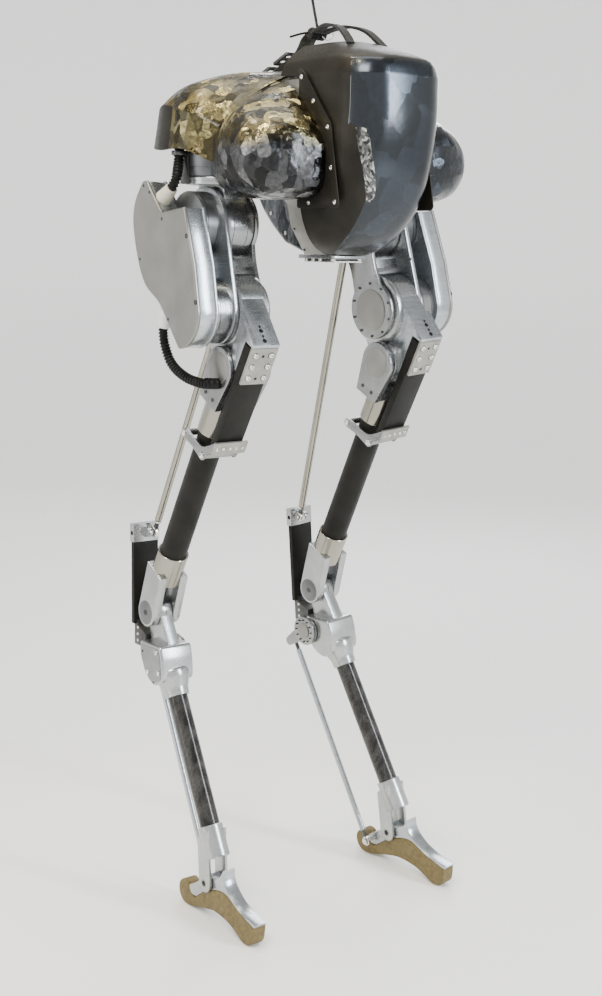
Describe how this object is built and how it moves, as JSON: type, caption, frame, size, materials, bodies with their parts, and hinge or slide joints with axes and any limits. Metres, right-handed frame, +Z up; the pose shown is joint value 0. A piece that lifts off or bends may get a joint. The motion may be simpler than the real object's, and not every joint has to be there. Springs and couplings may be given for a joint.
{
  "type": "walking robot",
  "caption": "Two-legged bird-legged walking robot: rounded composite torso with lifting strap, over two sprung, jointed legs on narrow blade feet.",
  "frame": {"origin": "centre of the footprint of the whole robot at floor level", "axes": "+Z up, the robot faces -Y, its left side is +X"},
  "size_m": [0.4545, 0.4501, 1.3823],
  "materials": {
    "forged_carbon": "glossy black composite",
    "matte_composite": "matte black composite",
    "satin_aluminium": "satin",
    "cast_aluminium": "bead blasted",
    "polished_steel": "polished",
    "black_rubber": "matte",
    "cream_plastic": "cream",
    "olive_rubber": "olive, matte",
    "webbing": "black webbing",
    "dark_metal": "dark anodised"
  },
  "bodies": {
    "pelvis": {"torso_front_shell": "forged_carbon", "pelvis_frame": "satin_aluminium", "torso_rear_shell": "forged_carbon", "underside_bracket": "satin_aluminium", "lifting_strap": "webbing", "strap_buckle": "polished_steel", "tether": "black_rubber", "tether_hook": "polished_steel", "roll_cover_left": "forged_carbon", "roll_cover_right": "forged_carbon"},
    "hip_roll_body_left": {"hip_shell_left": "forged_carbon", "hip_roll_frame_left": "dark_metal"},
    "hip_yaw_body_left": {"hip_yaw_hanger_left": "cast_aluminium", "hose_upper_left": "black_rubber"},
    "thigh_left": {"thigh_cover_left": "satin_aluminium", "thigh_frame_left": "dark_metal", "thigh_inner_cover_left": "satin_aluminium", "hose_boot_left": "cream_plastic", "hose_lower_left": "black_rubber"},
    "shin_left": {"knee_arm_left": "cast_aluminium", "leaf_spring_left": "matte_composite", "leaf_clamp_left": "cast_aluminium", "leaf_link_left": "dark_metal", "shin_tube_left": "matte_composite", "shin_top_fitting_left": "satin_aluminium", "shin_fork_left": "satin_aluminium"},
    "achilles_left": {"achilles_rod_left": "polished_steel"},
    "tarsus_left": {"tarsus_body_left": "cast_aluminium", "heel_spring_left": "matte_composite", "tarsus_tube_left": "forged_carbon", "ankle_fork_left": "cast_aluminium"},
    "foot_drive_left": {"foot_crank_left": "satin_aluminium"},
    "plantar_left": {"plantar_rod_left": "satin_aluminium"},
    "foot_left": {"foot_blade_left": "satin_aluminium", "foot_sole_left": "olive_rubber"},
    "hip_roll_body_right": {"hip_shell_right": "forged_carbon", "hip_roll_frame_right": "dark_metal"},
    "hip_yaw_body_right": {"hip_yaw_hanger_right": "cast_aluminium", "hose_upper_right": "black_rubber"},
    "thigh_right": {"thigh_cover_right": "satin_aluminium", "thigh_frame_right": "dark_metal", "thigh_inner_cover_right": "satin_aluminium", "hose_boot_right": "cream_plastic", "hose_lower_right": "black_rubber"},
    "shin_right": {"knee_arm_right": "cast_aluminium", "leaf_spring_right": "matte_composite", "leaf_clamp_right": "cast_aluminium", "leaf_link_right": "dark_metal", "shin_tube_right": "matte_composite", "shin_top_fitting_right": "satin_aluminium", "shin_fork_right": "satin_aluminium"},
    "achilles_right": {"achilles_rod_right": "polished_steel"},
    "tarsus_right": {"tarsus_body_right": "cast_aluminium", "heel_spring_right": "matte_composite", "tarsus_tube_right": "forged_carbon", "ankle_fork_right": "cast_aluminium"},
    "foot_drive_right": {"foot_crank_right": "satin_aluminium"},
    "plantar_right": {"plantar_rod_right": "satin_aluminium"},
    "foot_right": {"foot_blade_right": "satin_aluminium", "foot_sole_right": "olive_rubber"}
  },
  "joints": [
    {"name": "hip_roll_left", "type": "hinge", "parent": "pelvis", "child": "hip_roll_body_left", "pos_m": [0.1232, -0.056, 1.1047], "axis": [0, -1, 0], "range_deg": [-12, 18]},
    {"name": "hip_yaw_left", "type": "hinge", "parent": "hip_roll_body_left", "child": "hip_yaw_body_left", "pos_m": [0.1232, 0.014, 1.1047], "axis": [-0.0785, 0, 0.9969], "range_deg": [-27, 18]},
    {"name": "hip_pitch_left", "type": "hinge", "parent": "hip_yaw_body_left", "child": "thigh_left", "pos_m": [0.12579, 0.01365, 1.01463], "axis": [-0.9938, -0.0785, -0.0782], "range_deg": [-42, 58], "deforming": ["hose_upper_left"]},
    {"name": "knee_left", "type": "hinge", "parent": "thigh_left", "child": "shin_left", "pos_m": [0.13731, -0.01732, 0.89926], "axis": [0.9938, 0.0785, 0.0782], "range_deg": [-8, 79]},
    {"name": "tarsus_left", "type": "hinge", "parent": "shin_left", "child": "tarsus_left", "pos_m": [0.1594, 0.16612, 0.43464], "axis": [0.9938, 0.0785, 0.0782], "range_deg": [-79, 8]},
    {"name": "achilles_left", "type": "hinge", "parent": "thigh_left", "child": "achilles_left", "pos_m": [0.12579, 0.01365, 1.01463], "axis": [0.9938, 0.0785, 0.0782], "range_deg": [-8, 79]},
    {"name": "foot_left", "type": "hinge", "parent": "tarsus_left", "child": "foot_left", "pos_m": [0.20136, 0.01037, 0.05775], "axis": [-0.9938, -0.0785, -0.0782], "range_deg": [-56, 48]},
    {"name": "foot_crank_left", "type": "hinge", "parent": "tarsus_left", "child": "foot_drive_left", "pos_m": [0.16445, 0.1689, 0.36766], "axis": [-0.9938, -0.0785, -0.0782], "range_deg": [-56, 48]},
    {"name": "plantar_left", "type": "hinge", "parent": "foot_drive_left", "child": "plantar_left", "pos_m": [0.16325, 0.21143, 0.34024], "axis": [-0.9938, -0.0785, -0.0782], "range_deg": [-48, 56]},
    {"name": "hip_roll_right", "type": "hinge", "parent": "pelvis", "child": "hip_roll_body_right", "pos_m": [-0.1468, -0.056, 1.1047], "axis": [0, 1, 0], "range_deg": [-7.5, 22.5]},
    {"name": "hip_yaw_right", "type": "hinge", "parent": "hip_roll_body_right", "child": "hip_yaw_body_right", "pos_m": [-0.1468, 0.014, 1.1047], "axis": [0, 0, -1], "range_deg": [-22.5, 22.5]},
    {"name": "hip_pitch_right", "type": "hinge", "parent": "hip_yaw_body_right", "child": "thigh_right", "pos_m": [-0.1423, 0.014, 1.0147], "axis": [-1, 0, 0], "range_deg": [-42, 58], "deforming": ["hose_upper_right"]},
    {"name": "knee_right", "type": "hinge", "parent": "thigh_right", "child": "shin_right", "pos_m": [-0.1423, -0.01706, 0.89879], "axis": [1, 0, 0], "range_deg": [-8, 79]},
    {"name": "tarsus_right", "type": "hinge", "parent": "shin_right", "child": "tarsus_right", "pos_m": [-0.1423, 0.17228, 0.43602], "axis": [1, 0, 0], "range_deg": [-79, 8]},
    {"name": "achilles_right", "type": "hinge", "parent": "thigh_right", "child": "achilles_right", "pos_m": [-0.1423, 0.014, 1.0147], "axis": [1, 0, 0], "range_deg": [-8, 79]},
    {"name": "foot_right", "type": "hinge", "parent": "tarsus_right", "child": "foot_right", "pos_m": [-0.1423, 0.01606, 0.057], "axis": [-1, 0, 0], "range_deg": [-56, 48]},
    {"name": "foot_crank_right", "type": "hinge", "parent": "tarsus_right", "child": "foot_drive_right", "pos_m": [-0.1423, 0.17507, 0.36885], "axis": [-1, 0, 0], "range_deg": [-56, 48]},
    {"name": "plantar_right", "type": "hinge", "parent": "foot_drive_right", "child": "plantar_right", "pos_m": [-0.1423, 0.21757, 0.34135], "axis": [-1, 0, 0], "range_deg": [-48, 56]}
  ],
  "couplings": [
    {"joint": "tarsus_left", "follows": "knee_left", "ratio": -1},
    {"joint": "achilles_left", "follows": "knee_left", "ratio": 1},
    {"joint": "foot_crank_left", "follows": "foot_left", "ratio": 1},
    {"joint": "plantar_left", "follows": "foot_left", "ratio": -1},
    {"joint": "tarsus_right", "follows": "knee_right", "ratio": -1},
    {"joint": "achilles_right", "follows": "knee_right", "ratio": 1},
    {"joint": "foot_crank_right", "follows": "foot_right", "ratio": 1},
    {"joint": "plantar_right", "follows": "foot_right", "ratio": -1}
  ]
}
